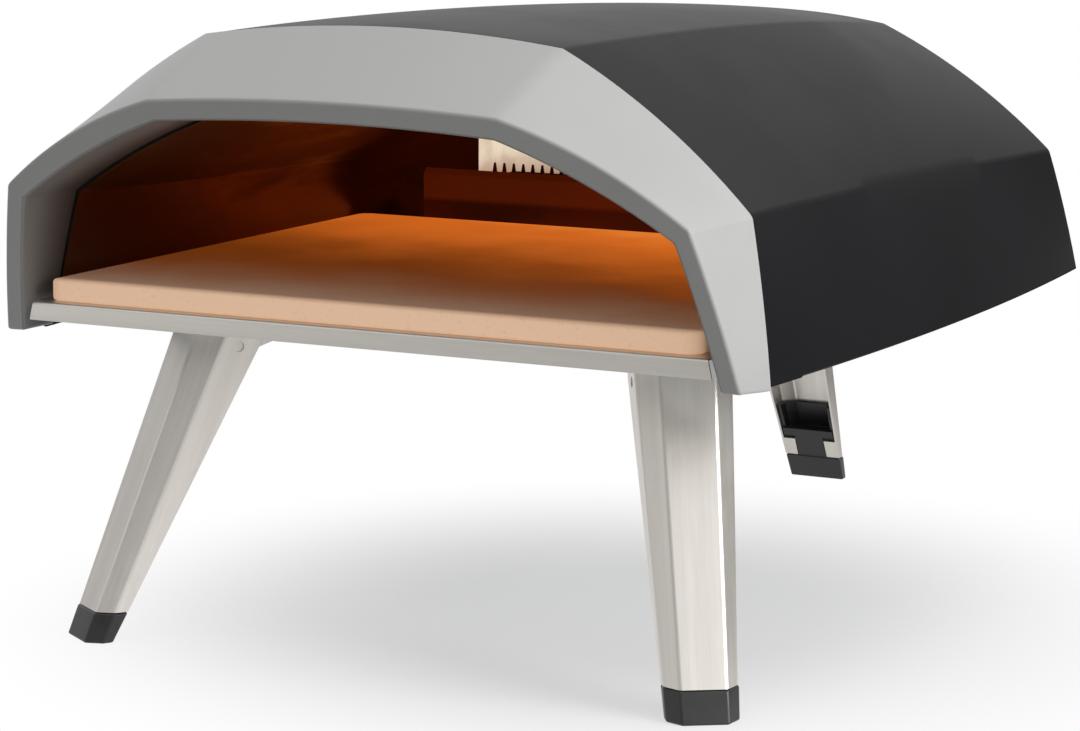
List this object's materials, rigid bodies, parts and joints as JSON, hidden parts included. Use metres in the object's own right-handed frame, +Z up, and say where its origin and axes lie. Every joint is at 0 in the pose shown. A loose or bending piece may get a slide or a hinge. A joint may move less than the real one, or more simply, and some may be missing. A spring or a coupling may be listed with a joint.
{
  "type": "portable pizza oven",
  "caption": "Gas pizza oven with an arched cover, open mouth, sliding stone, rear burner with a control knob and folding legs.",
  "frame": {"origin": "centre of the object's box on the surface that it stands on", "axes": "+Z up, -Y out of the mouth, +X to the right as seen from the mouth"},
  "size_m": [0.4014, 0.6153, 0.3085],
  "materials": {
    "black_powder_coat": "satin black powder coat",
    "grey_moulding": "matt grey moulding",
    "galvanised_steel": "zinc plated sheet steel",
    "fibre_board": "pressed ceramic fibre",
    "heated_stainless": "stainless steel browned by heat",
    "brushed_stainless": "brushed stainless steel",
    "brass": "turned brass",
    "cast_alloy": "die cast alloy",
    "spring_steel": "plain steel wire",
    "black_plastic": "black moulded plastic",
    "white_ceramic": "glazed white ceramic",
    "silicone_lead": "red silicone sleeve",
    "cordierite": "matt cordierite",
    "fastener_steel": "zinc plated steel"
  },
  "bodies": {
    "oven_body": {"outer_shell": "black_powder_coat", "front_fascia": "grey_moulding", "base_pan": "galvanised_steel", "base_insulation": "fibre_board", "chamber_liner": "heated_stainless", "arch_insulation": "fibre_board", "rear_liner": "heated_stainless", "stone_tray": "brushed_stainless", "flame_shield": "heated_stainless", "burner_trough": "heated_stainless", "burner_comb": "heated_stainless", "burner_hood": "heated_stainless", "burner_stand_left": "galvanised_steel", "burner_stand_right": "galvanised_steel", "venturi_tube": "galvanised_steel", "gas_jet": "brass", "gas_valve": "cast_alloy", "gas_inlet": "brass", "piezo_igniter": "black_plastic", "spark_electrode": "spring_steel", "electrode_insulator": "white_ceramic", "ignition_lead": "silicone_lead", "rear_panel": "black_powder_coat", "burner_cover": "black_powder_coat", "leg_bracket_left": "galvanised_steel", "leg_bracket_right": "galvanised_steel", "leg_bracket_rear": "galvanised_steel", "leg_pin_left": "fastener_steel", "leg_pin_right": "fastener_steel", "leg_pin_rear": "fastener_steel", "bracket_rivet_left_1": "fastener_steel", "bracket_rivet_left_2": "fastener_steel", "bracket_rivet_right_1": "fastener_steel", "bracket_rivet_right_2": "fastener_steel", "bracket_rivet_rear_1": "fastener_steel", "bracket_rivet_rear_2": "fastener_steel", "rear_screw_1": "fastener_steel", "rear_screw_2": "fastener_steel", "rear_screw_3": "fastener_steel", "cover_screw_1": "fastener_steel", "cover_screw_2": "fastener_steel", "cover_screw_3": "fastener_steel", "cover_screw_4": "fastener_steel", "valve_screw_1": "fastener_steel", "valve_screw_2": "fastener_steel", "pan_screw_1": "fastener_steel", "pan_screw_2": "fastener_steel", "pan_screw_3": "fastener_steel", "pan_screw_4": "fastener_steel"},
    "left_leg": {"leg_left": "brushed_stainless", "foot_left": "black_plastic"},
    "right_leg": {"leg_right": "brushed_stainless", "foot_right": "black_plastic"},
    "rear_leg": {"leg_rear": "brushed_stainless", "foot_rear": "black_plastic"},
    "gas_plug": {"valve_plug": "brass", "valve_spring": "spring_steel"},
    "knob": {"control_knob": "black_plastic", "valve_stem": "cast_alloy"},
    "stone": {"baking_stone": "cordierite"}
  },
  "joints": [
    {"name": "left_leg_fold", "type": "hinge", "parent": "oven_body", "child": "left_leg", "pos_m": [-0.12619, -0.18824, 0.1438], "axis": [0.829, -0.5592, 0], "range_deg": [0, 112]},
    {"name": "right_leg_fold", "type": "hinge", "parent": "oven_body", "child": "right_leg", "pos_m": [0.12619, -0.18824, 0.1438], "axis": [0.829, 0.5592, 0], "range_deg": [0, 112]},
    {"name": "rear_leg_fold", "type": "hinge", "parent": "oven_body", "child": "rear_leg", "pos_m": [0, 0.22856, 0.1438], "axis": [-1, 0, 0], "range_deg": [0, 112]},
    {"name": "knob_turn", "type": "hinge", "parent": "oven_body", "child": "gas_plug", "pos_m": [-0.085, 0.23902, 0.2], "axis": [0, 1, 0], "range_deg": [0, 210]},
    {"name": "knob_push", "type": "slide", "parent": "gas_plug", "child": "knob", "axis": [0, -1, 0], "range_m": [0, 0.003], "stiffness_N_per_m": 400, "springref_m": -0.005, "deforming": ["valve_spring"]},
    {"name": "stone_slide", "type": "slide", "parent": "oven_body", "child": "stone", "axis": [0, -1, 0], "range_m": [0, 0.345]}
  ]
}
